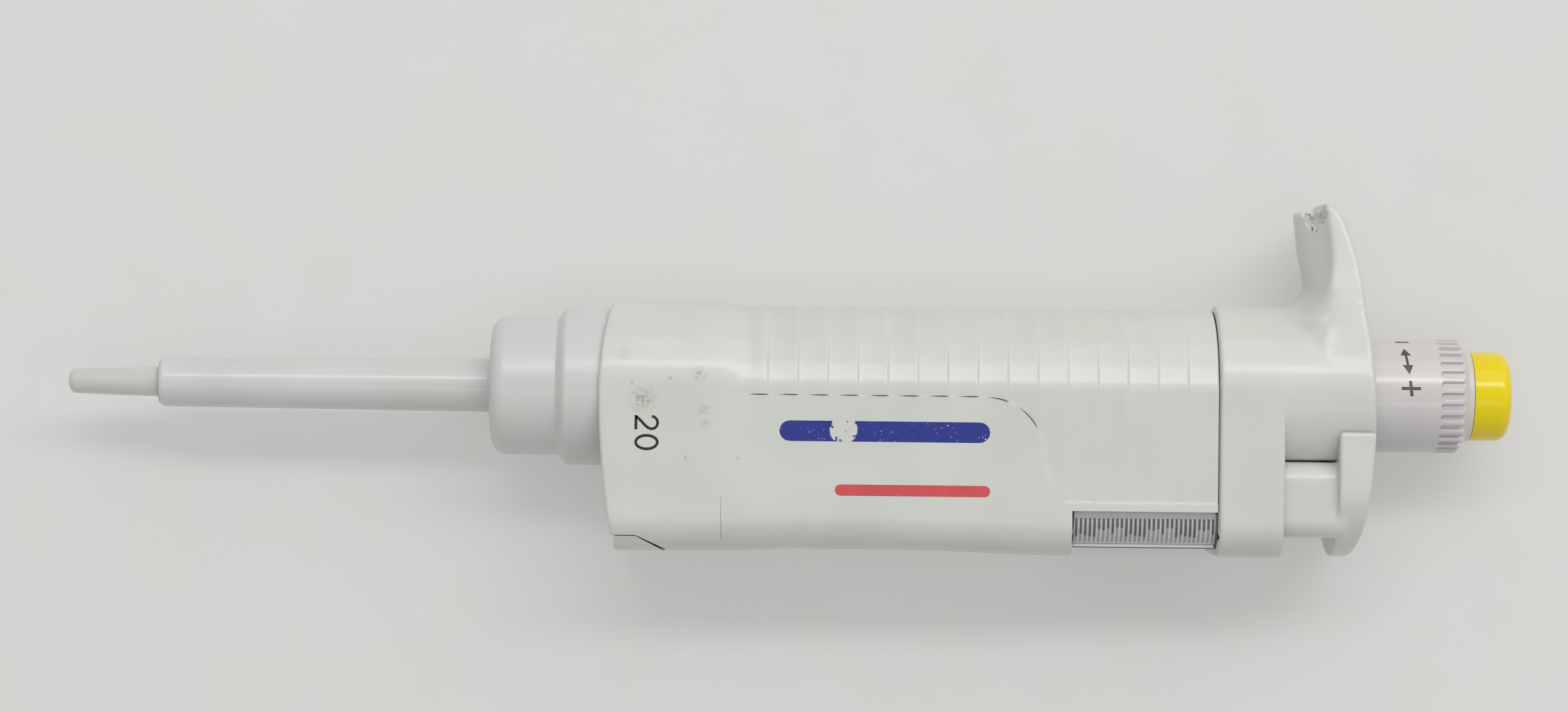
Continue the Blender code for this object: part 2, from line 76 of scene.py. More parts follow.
def srgb(red, green, blue):
    """Linear colour of 0 to 255 display values."""
    return tuple(
        c / 12.92 if c <= 0.04045 else ((c + 0.055) / 1.055) ** 2.4
        for c in (red / 255, green / 255, blue / 255)
    )


# ---------------------------------------------------------------- materials


class Graph:
    """A material's node tree, with short calls for its usual nodes."""

    def __init__(self, name):
        self.material = bpy.data.materials.new(name)
        self.material.use_nodes = True
        self.tree = self.material.node_tree
        self.shader = self.tree.nodes["Principled BSDF"]
        self.place = self.add("ShaderNodeTexCoord").outputs["Object"]

    def add(self, kind, inputs=None, **settings):
        node = self.tree.nodes.new(kind)
        for key, value in settings.items():
            setattr(node, key, value)
        for key, value in (inputs or {}).items():
            if isinstance(value, bpy.types.NodeSocket):
                self.tree.links.new(value, node.inputs[key])
            else:
                node.inputs[key].default_value = value
        return node

    def noise(self, size_mm, detail=3.0, roughness=0.5, place=None, stretch=None):
        """Noise with features about this size."""
        place = place or self.place
        if stretch:
            place = self.add("ShaderNodeMapping", {"Vector": place, "Scale": stretch}).outputs[0]
        inputs = {
            "Vector": place, "Scale": 1 / (size_mm * MM), "Detail": detail, "Roughness": roughness,
        }
        return self.add("ShaderNodeTexNoise", inputs).outputs["Fac"]

    def span(self, value, low, high, to_low=0.0, to_high=1.0):
        inputs = {
            "Value": value, "From Min": low, "From Max": high, "To Min": to_low, "To Max": to_high,
        }
        return self.add("ShaderNodeMapRange", inputs).outputs["Result"]

    def math(self, operation, first, second=0.0):
        node = self.add("ShaderNodeMath", {0: first, 1: second}, operation=operation)
        return node.outputs[0]

    def near(self, centre, reach_mm, stretch=(1, 1, 1)):
        """1 at a point of the local frame, falling to 0 at this reach from it."""
        spot = world(*centre)
        away = self.add("ShaderNodeVectorMath", {0: self.place, 1: spot}, operation="SUBTRACT")
        scaled = self.add(
            "ShaderNodeVectorMath", {0: away.outputs[0], 1: stretch}, operation="MULTIPLY"
        )
        length = self.add("ShaderNodeVectorMath", {0: scaled.outputs[0]}, operation="LENGTH")
        return self.span(length.outputs["Value"], 0.0, reach_mm * MM, 1.0, 0.0)

    def mix(self, share, first, second):
        node = self.add("ShaderNodeMix", {0: share}, data_type="RGBA")
        for socket, value in ((node.inputs[6], first), (node.inputs[7], second)):
            if isinstance(value, bpy.types.NodeSocket):
                self.tree.links.new(value, socket)
            else:
                socket.default_value = (*value, 1.0)
        return node.outputs[2]

    def bump(self, height, depth_mm, below=None):
        inputs = {"Height": height, "Distance": depth_mm * MM, "Strength": 1.0}
        if below:
            inputs["Normal"] = below
        return self.add("ShaderNodeBump", inputs).outputs[0]

    def surface(self, colour, roughness, normal=None, **shader):
        links = {"Base Color": colour, "Roughness": roughness, "Normal": normal}
        for key, value in links.items():
            if value is not None:
                self.tree.links.new(value, self.shader.inputs[key])
        for key, value in shader.items():
            self.shader.inputs[key.replace("_", " ")].default_value = value
        return self.material


def moulded(
    name, colour, roughness=0.38, tone=0.03, grain_mm=0.12, depth_mm=0.003, dirt=0.25, spots=(),
    coat=0.35, coat_roughness=0.14, specular=0.5,
):
    """Moulded plastic: faint mottling, fine grain, scuffs that are glossier, and grime in patches.

    spots are (centre, reach, strength) of smudges.
    """
    g = Graph(name)
    lighter = tuple(min(1.0, c * (1 + tone)) for c in colour)
    darker = tuple(c * (1 - tone) for c in colour)
    body = g.mix(g.span(g.noise(14, 4), 0.35, 0.65), darker, lighter)
    yellowed = (colour[0] * 0.99, colour[1] * 0.965, colour[2] * 0.88)
    body = g.mix(g.span(g.noise(22, 3), 0.5, 0.75, 0, 0.45), body, yellowed)
    grime = tuple(c * 0.45 for c in srgb(150, 145, 120))
    specks = g.span(g.noise(0.9, 2, 0.6), 0.735, 0.78, 0, 1)
    patches = g.span(g.noise(18, 2), 0.5, 0.62)
    share = g.math("MULTIPLY", g.math("MULTIPLY", specks, patches), dirt)
    for centre, reach, strength in spots:
        blot = g.math("MULTIPLY", g.near(centre, reach), g.span(g.noise(0.7, 4, 0.7), 0.42, 0.62))
        share = g.math("MAXIMUM", share, g.math("MULTIPLY", blot, strength))
    body = g.mix(share, body, grime)
    scuffs = g.span(g.noise(5, 5, 0.7, stretch=(0.4, 1, 1)), 0.45, 0.7, 0.06, -0.06)
    rough = g.math("ADD", scuffs, roughness)
    fine = g.bump(g.noise(grain_mm, 2), depth_mm)
    wavy = g.bump(g.noise(6, 2), 0.012, fine)
    return g.surface(
        body, rough, wavy, Specular_IOR_Level=specular, Coat_Weight=coat,
        Coat_Roughness=coat_roughness,
    )


def printed(name, colour, under, wear=0.5, spots=(), roughness=0.35):
    """Pad-printed ink, worn through to the plastic in flakes."""
    g = Graph(name)
    ink = g.mix(g.span(g.noise(2.5, 3), 0.35, 0.65), tuple(c * 0.9 for c in colour), colour)
    flakes = g.span(g.noise(0.55, 5, 0.7), 0.74 - 0.2 * wear, 0.77 - 0.2 * wear)
    lost = g.math("MULTIPLY", flakes, g.span(g.noise(4.5, 2), 0.38, 0.6))
    for centre, reach, strength in spots:
        ragged = g.math("MULTIPLY", g.near(centre, reach), g.span(g.noise(0.8, 4, 0.7), 0.2, 0.5))
        lost = g.math("MAXIMUM", lost, g.span(g.math("MULTIPLY", ragged, strength), 0.3, 0.36))
    return g.surface(
        g.mix(lost, ink, under),
        g.span(g.noise(1.2, 3), 0.3, 0.7, roughness - 0.05, roughness + 0.1),
        g.bump(g.noise(0.15, 2), 0.003),
    )


def metal(name, colour, roughness, along=(0.02, 1, 1)):
    """Turned or drawn metal, with fine streaks along X and dull patches."""
    g = Graph(name)
    streaks = g.noise(0.15, 2, stretch=along)
    tone = g.mix(g.span(streaks, 0.3, 0.7), tuple(c * 0.8 for c in colour), colour)
    tarnish = g.span(g.noise(5, 3), 0.45, 0.8, 0, 0.5)
    tone = g.mix(tarnish, tone, tuple(c * 0.55 for c in colour))
    rough = g.span(g.noise(3, 3), 0.3, 0.7, roughness - 0.06, roughness + 0.12)
    return g.surface(tone, rough, g.bump(streaks, 0.002), Metallic=1.0)


def clear_plastic(name):
    g = Graph(name)
    haze = g.span(g.noise(3, 4, 0.6), 0.35, 0.7, 0.10, 0.30)
    tint = g.mix(g.span(g.noise(8, 2), 0.4, 0.6), srgb(206, 207, 209), srgb(220, 221, 222))
    scratches = g.noise(0.25, 2, stretch=(0.05, 1, 1))
    return g.surface(tint, haze, g.bump(scratches, 0.002), Alpha=0.07, Specular_IOR_Level=0.5)


BODY_GREY = srgb(203, 205, 199)
MARK_SPOTS = (
    ((95.2, -1.9, 14), 2.6, 0.75),
    ((104.2, 2.3, 14), 1.6, 0.65),
    ((105.0, -3.6, 14), 1.4, 0.5),
    ((105.3, -5.6, 14), 1.2, 0.5),
    ((92.2, 5.6, 13), 1.4, 0.35),
    ((93.3, 1.0, 14), 0.7, 0.5),
    ((99.6, 1.6, 14), 0.5, 0.8),
    ((102.3, -11.3, 14), 0.55, 0.9),
    ((110.6, -11.2, 14), 0.5, 0.6),
)
HOUSING = moulded("housing_grey", BODY_GREY, spots=MARK_SPOTS)
SLEEVE = moulded("sleeve_grey", srgb(202, 203, 201), 0.34, coat=0.4, coat_roughness=0.13)
CONE = moulded("cone_grey", srgb(197, 199, 194), 0.2, tone=0.02, dirt=0.3, coat=1.0, coat_roughness=0.12)
KNOB_GREY = srgb(202, 199, 198)
KNOB = moulded("knob_grey", KNOB_GREY, 0.24, depth_mm=0.002, dirt=0.1, coat_roughness=0.12)
YELLOW = moulded(
    "button_yellow", srgb(229, 206, 4), 0.2, tone=0.02, depth_mm=0.002, dirt=0.12,
    coat=0.4, coat_roughness=0.08, specular=0.2,
)
CLEAR = clear_plastic("window_clear")
DRUM = moulded("drum_white", srgb(214, 214, 210), 0.4, dirt=0.1)
STRIP = moulded("strip_grey", srgb(214, 214, 210), 0.4, dirt=0.1)
TICK = moulded("tick_dark", srgb(22, 23, 26), 0.4, dirt=0.0)
TOOTH = moulded("tooth_grey", srgb(142, 143, 145), 0.4, dirt=0.0)
RAIL = moulded("rail_white", srgb(240, 240, 236), 0.35, dirt=0.0)
DARK = moulded("chassis_dark", srgb(70, 72, 76), 0.45)
WAXY = moulded("seal_white", srgb(220, 219, 212), 0.4)
RUBBER = moulded("seal_black", srgb(32, 32, 33), 0.6)
STEEL = metal("ground_steel", (0.62, 0.61, 0.59), 0.22)
BRASS = metal("turned_brass", (0.72, 0.53, 0.26), 0.26)
BLUE_INK = printed(
    "print_blue", srgb(28, 44, 138), BODY_GREY, 0.55, spots=(((127.5, -6.4, 14), 3.4, 1.0),),
)
RED_INK = printed("print_red", srgb(206, 78, 80), BODY_GREY, 0.45)
BLACK_INK = printed("print_black", srgb(30, 31, 33), BODY_GREY, 0.1)
MARK_INK = printed("print_mark", srgb(78, 76, 76), KNOB_GREY, 0.15)
DIGIT_INK = printed("print_digit", srgb(24, 24, 26), srgb(214, 214, 210), 0.05)


def duller_past(material, x, roughness):
    """Makes a material's coat rougher beyond this place along X."""
    tree = material.node_tree
    shader = tree.nodes["Principled BSDF"]
    place = tree.nodes.new("ShaderNodeTexCoord")
    parts = tree.nodes.new("ShaderNodeSeparateXYZ")
    span = tree.nodes.new("ShaderNodeMapRange")
    tree.links.new(place.outputs["Object"], parts.inputs[0])
    tree.links.new(parts.outputs["X"], span.inputs["Value"])
    start = world(x, 0, 0).x
    limits = (start, start + MM, shader.inputs["Coat Roughness"].default_value, roughness)
    for key, value in zip(("From Min", "From Max", "To Min", "To Max"), limits):
        span.inputs[key].default_value = value
    tree.links.new(span.outputs["Result"], shader.inputs["Coat Roughness"])


duller_past(SLEEVE, 69.5, 0.3)


# ---------------------------------------------------------------- mesh tools


def piece(name, verts, faces, material, body, replaces=(), smooth=35.0):
    """A finished piece of vertices in the local frame."""
    mesh = bpy.data.meshes.new(name)
    mesh.from_pydata([world(*v) for v in verts], [], faces)
    bm = bmesh.new()
    bm.from_mesh(mesh)
    bmesh.ops.remove_doubles(bm, verts=bm.verts, dist=1e-7)
    bmesh.ops.recalc_face_normals(bm, faces=bm.faces)
    bm.to_mesh(mesh)
    bm.free()
    mesh.shade_smooth()
    mesh.set_sharp_from_angle(angle=math.radians(smooth))
    mesh.materials.append(material)
    made = bpy.data.objects.new(name, mesh)
    scene.collection.objects.link(made)
    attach(made, body)
    if replaces:
        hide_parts(*replaces)
    return made


def rings_to_faces(rings, count, closed):
    """Faces between neighbouring rings of count points. Closed joins the last ring to the first."""
    faces = []
    for a in range(rings if closed else rings - 1):
        b = (a + 1) % rings
        for i in range(count):
            j = (i + 1) % count
            faces.append((a * count + i, a * count + j, b * count + j, b * count + i))
    return faces


def filleted(points, steps=6):
    """Rounds a polyline's corners: each point is (x, r) or (x, r, fillet radius)."""
    made = []
    for i, point in enumerate(points):
        x, r = point[:2]
        radius = point[2] if len(point) > 2 else 0
        if not radius:
            made.append((x, r))
            continue
        here = Vector((x, r))
        before = (Vector(points[i - 1][:2]) - here).normalized()
        after = (Vector(points[(i + 1) % len(points)][:2]) - here).normalized()
        half = before.angle(after) / 2
        reach = radius / math.tan(half)
        centre = here + (before + after).normalized() * (radius / math.sin(half))
        start, end = here + before * reach - centre, here + after * reach - centre
        turn = start.angle(end)
        for k in range(steps + 1):
            t = k / steps
            share = (math.sin((1 - t) * turn), math.sin(t * turn))
            spot = centre + (start * share[0] + end * share[1]) / math.sin(turn)
            made.append(tuple(spot))
    return made


def lathe(name, profile, material, body, replaces=(), sides=96, centre=(0, 0), bored=True):
    """Turns a profile about an axis along X at (y, z) = centre."""
    points = filleted(profile)
    verts = []
    for x, r in points:
        for k in range(sides):
            a = 2 * math.pi * k / sides
            verts.append((x, centre[0] + r * math.cos(a), centre[1] + r * math.sin(a)))
    faces = rings_to_faces(len(points), sides, bored)
    if not bored:
        faces += [tuple(range(sides)), tuple(range((len(points) - 1) * sides, len(points) * sides))]
    return piece(name, verts, faces, material, body, replaces)


def smooth_min(a, b, k):
    h = np.maximum(k - np.abs(a - b), 0) / k
    return np.minimum(a, b) - h * h * k / 4


def smooth_max(a, b, k):
    return -smooth_min(-a, -b, k)


def ramp(t):
    t = np.clip(t, 0, 1)
    return t * t * (3 - 2 * t)


def net(name, field, low, high, pitch, material, body, replaces=()):
    """Meshes where a signed distance field is 0, with one vertex in each cell that it crosses."""
    axes = [np.arange(a, b + pitch, pitch) for a, b in zip(low, high)]
    grid = np.meshgrid(*axes, indexing="ij")
    value = field(*grid)
    inside = value < 0
    shape = [n - 1 for n in value.shape]
    total = np.zeros((*shape, 3))
    crossings = np.zeros(shape)

    def corner(array, offset):
        return array[tuple(slice(o, o + n) for o, n in zip(offset, shape))]

    offsets = [(i, j, k) for i in (0, 1) for j in (0, 1) for k in (0, 1)]
    for start in offsets:
        for axis in range(3):
            if start[axis]:
                continue
            end = tuple(1 if n == axis else o for n, o in enumerate(start))
            first, second = corner(value, start), corner(value, end)
            crossed = corner(inside, start) != corner(inside, end)
            t = np.where(crossed, first / np.where(crossed, first - second, 1), 0)
            for n in range(3):
                where = start[n] + (t if n == axis else 0)
                total[..., n] += np.where(crossed, where, 0)
            crossings += crossed
    active = crossings > 0
    index = np.full(shape, -1)
    index[active] = np.arange(active.sum())
    cells = np.argwhere(active)
    points = cells + total[active] / crossings[active][:, None]
    points = points * pitch + np.array(low)
    step = pitch * 0.1
    for _ in range(3):
        here = field(*points.T)
        slope = np.stack(
            [
                field(*(points + offset).T) - field(*(points - offset).T)
                for offset in np.eye(3) * step
            ],
            axis=1,
        ) / (2 * step)
        move = -here[:, None] * slope / np.maximum((slope**2).sum(1), 0.2)[:, None]
        points = points + np.clip(move, -pitch * 0.4, pitch * 0.4)
    faces = []
    for axis in range(3):
        u, v = [n for n in range(3) if n != axis]
        low_end = [slice(None)] * 3
        high_end = [slice(None)] * 3
        low_end[axis], high_end[axis] = slice(None, -1), slice(1, None)
        crossed = np.argwhere(inside[tuple(low_end)] != inside[tuple(high_end)])
        for spot in crossed:
            around = []
            for du, dv in ((-1, -1), (0, -1), (0, 0), (-1, 0)):
                cell = list(spot)
                cell[u] += du
                cell[v] += dv
                around.append(index[tuple(cell)])
            faces.append(tuple(int(n) for n in around))
    return piece(name, points.tolist(), faces, material, body, replaces, 50)


def cut(target, name, outline, start, end, along="Z"):
    """Cuts a prism out of a piece. The outline is (x, y) along Z, or (y, z) along X."""
    verts = []
    for depth in (start, end):
        for p, q in outline:
            verts.append(world(p, q, depth) if along == "Z" else world(depth, p, q))
    n = len(outline)
    faces = [tuple(range(n)), tuple(range(2 * n - 1, n - 1, -1))]
    faces += [(i, i + n, (i + 1) % n + n, (i + 1) % n) for i in range(n)]
    mesh = bpy.data.meshes.new(name)
    mesh.from_pydata(verts, [], faces)
    bm = bmesh.new()
    bm.from_mesh(mesh)
    bmesh.ops.recalc_face_normals(bm, faces=bm.faces)
    bm.to_mesh(mesh)
    bm.free()
    tool = bpy.data.objects.new(name, mesh)
    scene.collection.objects.link(tool)
    modifier = target.modifiers.new(name, "BOOLEAN")
    modifier.object, modifier.operation, modifier.solver = tool, "DIFFERENCE", "MANIFOLD"
    graph = bpy.context.evaluated_depsgraph_get()
    result = bpy.data.meshes.new_from_object(target.evaluated_get(graph))
    target.modifiers.clear()
    target.data = result
    bpy.data.objects.remove(tool)


# ---------------------------------------------------------------- grip shell

HALF = 14.0
FRONT_RADIUS = 6.2
FRONT_Y = -26.5
SHELL_END = 187.9
BAND_END = 107.5
RIB_START = 113.0
RIB_PITCH = 4.836
CRESTS = [114.9 + RIB_PITCH * k for k in range(-1, 16)]
RIB_DEPTH = 0.36
# Where a rib is sampled after its crest: closely on the short drop, and coarsely on the slow rise.
RIB_SAMPLES = (
    0, 0.12, 0.25, 0.38, 0.5, 0.62, 0.75, 1.0, 1.4, 1.9, 2.4, 2.9, 3.4, 3.8, 4.15, 4.4, 4.6, 4.75,
)
LABEL_TOP = -0.85
LABEL_ARC = (150.5, -10.3, 9.35)
FRAME_Y = -17.6
LEDGE_X = 163.2


def shell_front(x):
    """The front face bulges a little towards the window."""
    return -26.35 + 0.45 * ramp((x - 107) / 12) - 0.65 * ramp((x - 138) / 25)


def rib_drop(x):
    """Depth of the sawtooth ribs: a slow rise towards the knob, then a short drop."""
    since = np.mod(x - CRESTS[0], RIB_PITCH)
    fall, rise = 0.75, RIB_PITCH - 0.75
    rising = np.clip((since - fall) / rise, 0, 1)
    saw = np.where(since < fall, ramp(since / fall), 1 - rising**1.5)
    first = np.sin(math.pi * np.clip((x - BAND_END) / (CRESTS[1] - BAND_END), 0, 1)) ** 2
    return np.where(x < CRESTS[1], first, saw) * RIB_DEPTH


def shell_depth(x, y, side):
    """How far the surface lies inside its plain outline. side is 1 on a flat side, 0 at the back."""
    ribbed = ramp((x - BAND_END) / (RIB_START - BAND_END))
    depth_ribs = (0.42 * (1 - side) + 0.04 * side + rib_drop(x)) * ribbed
    # Distance outside the label's plateau, whose far upper corner is an arc.
    x0, y0, radius = LABEL_ARC
    corner = np.hypot(x - x0, y - y0) - radius
    straight = np.where(x < x0, y - LABEL_TOP, corner)
    outside = np.where((x > x0) & (y > y0), corner, straight)
    outside = np.where(y <= y0, x - x0 - radius, outside)
    label = 1 - ramp((outside + 0.1) / (0.25 + 3.5 * ramp((y0 - y) / 6)))
    sunk = 0.34 * ribbed * (1 - ramp((-y - 8) / 9)) * (1 - 0.6 * ramp((x - 150) / 13))
    # The front ledge begins with a short step below the ribs, and a long slope beside the label.
    step = np.where(x > LEDGE_X, 0.4, 5.0)
    frame_share = ramp((FRAME_Y - 0.2 + step - y) / step)
    plain = np.maximum(label, frame_share)
    return side * (plain * sunk + (1 - plain) * depth_ribs) + (1 - side) * depth_ribs


def shell_section(inset, back):
    """Points round the housing as (y, z, normal y, normal z, side share), starting at the front."""
    radius = FRONT_RADIUS - inset
    half = HALF - inset
    points = []
    for k in range(13):
        a = math.radians(180 - 90 * k / 12)
        z = half - radius + radius * math.sin(a)
        points.append((("front", radius * math.cos(a)), z, math.cos(a), math.sin(a), 1.0))
    for k in range(1, 6):
        points.append((("join", k / 6), half, 0.0, 1.0, 1.0))
    straight = np.concatenate(
        [
            np.linspace(-17.8, -17.3, 8), np.linspace(-17.0, -1.4, 44),
            np.linspace(-1.25, -0.4, 12), [-0.2],
        ]
    )
    for y in straight:
        points.append((float(y), half, 0.0, 1.0, 1.0))
    for k in range(33):
        a = math.radians(90 - 90 * k / 32)
        share = 1 - ramp(k / 6)
        y, z = (back - inset) * math.cos(a), half * math.sin(a)
        points.append((y, z, math.cos(a), math.sin(a), float(share)))
    return points


def shell_ring(station, inset, back, radius_drop, mouth):
    """A ring of the shell at a station along X. mouth is how much of the mouth's curve it follows."""
    upper = shell_section(inset, back)
    full = upper + [(y, -z, ny, -nz, s) for y, z, ny, nz, s in reversed(upper[1:-1])]
    ring = []
    for y, z, ny, nz, side in full:
        if isinstance(y, tuple):
            kind, value = y
            corner_y = float(shell_front(station)) + FRONT_RADIUS
            y = corner_y + value if kind == "front" else corner_y + value * (-17.8 - corner_y)
        x = station + mouth * (2.5 * (min(0.0, y) / 26) ** 2 + 1.7 * (max(0.0, y) / 14) ** 2)
        ring.append((x, y, z, ny, nz, side, radius_drop))
    return ring


def label_dashes():
    """Lens-shaped grooves along the label's edge, as (two ends, pairs between them)."""
    x0, y0, radius = LABEL_ARC
    spans = [(c - 2.75, c + 0.55, None) for c in CRESTS[1:9]]
    paths = [[(a + (b - a) * k / 6, LABEL_TOP) for k in range(7)] for a, b, _ in spans]
    for a, b in ((90, 66.7), (59.8, 27)):
        angles = [math.radians(a + (b - a) * k / 10) for k in range(11)]
        paths.append([(x0 + radius * math.cos(t), y0 + radius * math.sin(t)) for t in angles])
    made = []
    for path in paths:
        count = len(path) - 1
        pairs = []
        for k in range(1, count):
            (xa, ya), (xb, yb) = path[k - 1], path[k + 1]
            length = math.hypot(xb - xa, yb - ya)
            nx, ny = -(yb - ya) / length, (xb - xa) / length
            half = 0.11 * math.sin(math.pi * (k / count) ** 1.3)
            x, y = path[k]
            pairs.append(((x + nx * half, y + ny * half), (x - nx * half, y - ny * half)))
        made.append(((path[0], path[-1]), pairs))
    return made


def grip_shell():
    stations = [88.0, 88.06, 88.18, 88.38, 88.65, 89.2, 90, 91, 92, 93, 94, 95, 97, 99, 101, 103, 105]
    stations += [106.5, 107.5, 108, 108.5, 109, 109.5]
    for crest in CRESTS:
        stations += [crest + t for t in RIB_SAMPLES]
    stations = [x for x in stations if x <= 187.4]
    stations += [187.5, 187.65, 187.78, 187.86, SHELL_END]
    stations = sorted(set(stations))
    edge = {
        88.0: 0.5, 88.06: 0.28, 88.18: 0.13, 88.38: 0.03, 187.78: 0.04, 187.86: 0.12, SHELL_END: 0.25,
    }
    rings = []
    for x in stations:
        mouth = max(0.0, 1 - (x - 88) / 9)
        rings.append(shell_ring(x, 0, 14.05, edge.get(x, 0.0), mouth))
    outer = np.array([p for ring in rings for p in ring])
    x, y, z, ny, nz, side, drop = outer.T
    depth = shell_depth(x, y, side) + drop
    verts = np.stack([x, y - ny * depth, z - nz * depth], axis=1).tolist()
    count = len(rings[0])
    inner_stations = [
        (SHELL_END, 1.4, 0), (150, 1.4, 0), (103.2, 1.4, 0), (102.4, 0.8, 0), (95, 0.8, 0.22),
        (88.0, 0.8, 1),
    ]
    for x, inset, mouth in inner_stations:
        verts += [p[:3] for p in shell_ring(x, inset, 13.9, 0, mouth)]
    faces = rings_to_faces(len(rings) + len(inner_stations), count, True)
    shell = piece(
        "grip_shell_ribbed", verts, faces, HOUSING, "handle", ["grip_shell"], 30,
    )
    notch = [
        (80, -23.75), (94.0, -23.75), (94.5, -23.9), (99.6, -26.4), (101, -27.2), (101, -30), (80, -30),
    ]
    cut(shell, "notch_cut", notch, -20, 20)
    window = [(164.45, -19.05), (200, -19.05), (200, -30), (164.45, -30)]
    cut(shell, "window_cut", window, -20, 20)
    for side in (1, -1):
        for n, (start, end) in enumerate(label_dashes()):
            lens = [start[0], *[p[0] for p in end], start[1], *[p[1] for p in reversed(end)]]
            cut(shell, f"label_groove_{n}", lens, side * 13.2, side * 15)
        seam = [(107.87, -16.9), (107.89, -16.7), (107.93, -20.2), (107.87, -20.2)]
        cut(shell, "seam_groove", seam, side * 13.45, side * 15)
        seam = [(107.87, -20.1), (107.93, -20.1), (108.04, -24.4), (107.98, -24.4)]
        cut(shell, "seam_groove_low", seam, side * 12.1, side * 15)
    shell.data.shade_smooth()
    shell.data.set_sharp_from_angle(angle=math.radians(30))
    return shell


grip_shell()


# ---------------------------------------------------------------- display window and what it shows


def corner_outline(inset, thick, top_y, steps=12):
    """The housing's front from one side round to the other, as a closed wall outline of (y, z)."""
    walls = []
    for depth in (inset, inset + thick):
        half, radius = HALF - depth, FRONT_RADIUS - depth
        y0 = FRONT_Y + FRONT_RADIUS
        upper = [(top_y, half)]
        for k in range(steps + 1):
            a = math.radians(90 + 90 * k / steps)
            upper.append((y0 + radius * math.cos(a), half - radius + radius * math.sin(a)))
        walls.append(upper + [(y, -z) for y, z in reversed(upper)])
    return walls[0] + walls[1][::-1]


def extruded(name, outline, start, end, material, body, slot, replaces=(), bevel=0.0):
    """A prism along X, with its ends' edges chamfered by bevel."""
    rings = []
    n = len(outline)
    shape = np.array(outline)
    ahead, behind = np.roll(shape, -1, axis=0), np.roll(shape, 1, axis=0)
    tangent = ahead - behind
    tangent /= np.maximum(np.linalg.norm(tangent, axis=1), 1e-9)[:, None]
    normal = np.stack([tangent[:, 1], -tangent[:, 0]], axis=1)
    area = np.sum(shape[:, 0] * ahead[:, 1] - ahead[:, 0] * shape[:, 1])
    normal *= 1 if area > 0 else -1
    for x, drop in ((start, bevel), (start + bevel, 0), (end - bevel, 0), (end, bevel)):
        ring = shape - normal * drop
        rings += [(x, float(y), float(z)) for y, z in ring]
    faces = rings_to_faces(4, n, False) + [tuple(range(n)), tuple(range(3 * n, 4 * n))]
    return piece(name, rings, faces, material, body, replaces)


extruded(
    "display_window_pane", corner_outline(0.0, 1.3, -19.3), 164.7, SHELL_END,
    CLEAR, "handle", "clear_plastic", ["display_window"], 0.12,
)


# The comb's lines start at COMB_TOP down the strip, and stand COMB_PITCH apart.
COMB_X, COMB_PITCH, COMB_LINES = 165.25, 0.735, 31
COMB_TOP, COMB_WIDTH = 2.25, 0.36
STRIP_X = (164.95, 187.7)


def side_strip(name, side, replaces):
    """A strip beside the drums: its plate, uneven comb lines, full-height lines, a rail and a seal."""
    depth, thick = 1.9, 0.9
    half, radius, y0 = HALF - depth, FRONT_RADIUS - depth, FRONT_Y + FRONT_RADIUS

    def along(distance, rise):
        """A point at a distance down the strip's outside, raised off it."""
        flat = 2.3
        if distance < flat:
            return (y0 + flat - distance, side * (half + rise))
        a = math.pi / 2 + (distance - flat) / radius
        r = radius + rise
        return (y0 + r * math.cos(a), side * (half - radius + r * math.sin(a)))

    outer = [along(d, 0) for d in np.linspace(0, 7.6, 16)]
    inner = [along(d, -thick) for d in np.linspace(7.6, 0, 16)]
    extruded(name, outer + inner, 164.9, 187.7, STRIP, "handle", "drum_plastic", replaces)
    verts, faces = [], []

    def ridge(x, start, end, width, rise):
        """One raised comb line."""
        first = len(verts)
        steps = 6
        for k in range(steps + 1):
            d = start + (end - start) * k / steps
            for share, h in ((-1, -0.1), (-1, rise), (1, rise), (1, -0.1)):
                y, z = along(d, h)
                verts.append((x + share * width / 2, y, z))
        for k in range(steps):
            for i in range(4):
                j = (i + 1) % 4
                a = first + 4 * k
                faces.append((a + i, a + j, a + j + 4, a + i + 4))
        faces.append((first, first + 1, first + 2, first + 3))
        last = first + 4 * steps
        faces.append((last, last + 1, last + 2, last + 3))

    lengths = (3.1, 3.0, 1.9, 1.4, 2.6, 3.2, 1.6, 1.5, 2.9, 1.7, 2.5)
    for n in range(COMB_LINES):
        length = lengths[(n * 4) % len(lengths)]
        ridge(COMB_X + COMB_PITCH * n, COMB_TOP, COMB_TOP + length, COMB_WIDTH, 0.16)
    piece(name + "_comb", verts, faces, TICK, "handle")
    verts, faces = [], []
    for n in range(COMB_LINES):
        ridge(COMB_X + COMB_PITCH * n, COMB_TOP, 6.9, COMB_WIDTH, 0.1)
    piece(name + "_lines", verts, faces, TOOTH, "handle")
    # A pale rail closes the strip's front edge, and a dark seal lies between it and the window.
    for part, y, z, half_y, corners, material in (
        ("_rail", -24.6, 8.5, 0.42, 12, RAIL), ("_seal", -25.11, 7.9, 0.08, 8, TICK),
    ):
        round_bead = [
            (y + half_y * math.cos(t), side * (z + 0.6 * math.sin(t)))
            for t in np.linspace(0, 2 * math.pi, corners, False)
        ]
        extruded(name + part, round_bead, *STRIP_X, material, "handle", "drum_plastic")


side_strip("scale_strip_near", 1, ["scale_strip_upper"])
side_strip("scale_strip_far", -1, ["scale_strip_lower"])


def flat_shape(loops, cells=0.4):
    """A bmesh of filled outlines of (u, v), sliced every few tenths so that it can be bent."""
    bm = bmesh.new()
    for loop in loops:
        bm.faces.new([bm.verts.new((u, v, 0)) for u, v in loop])
    return sliced(bm, cells)


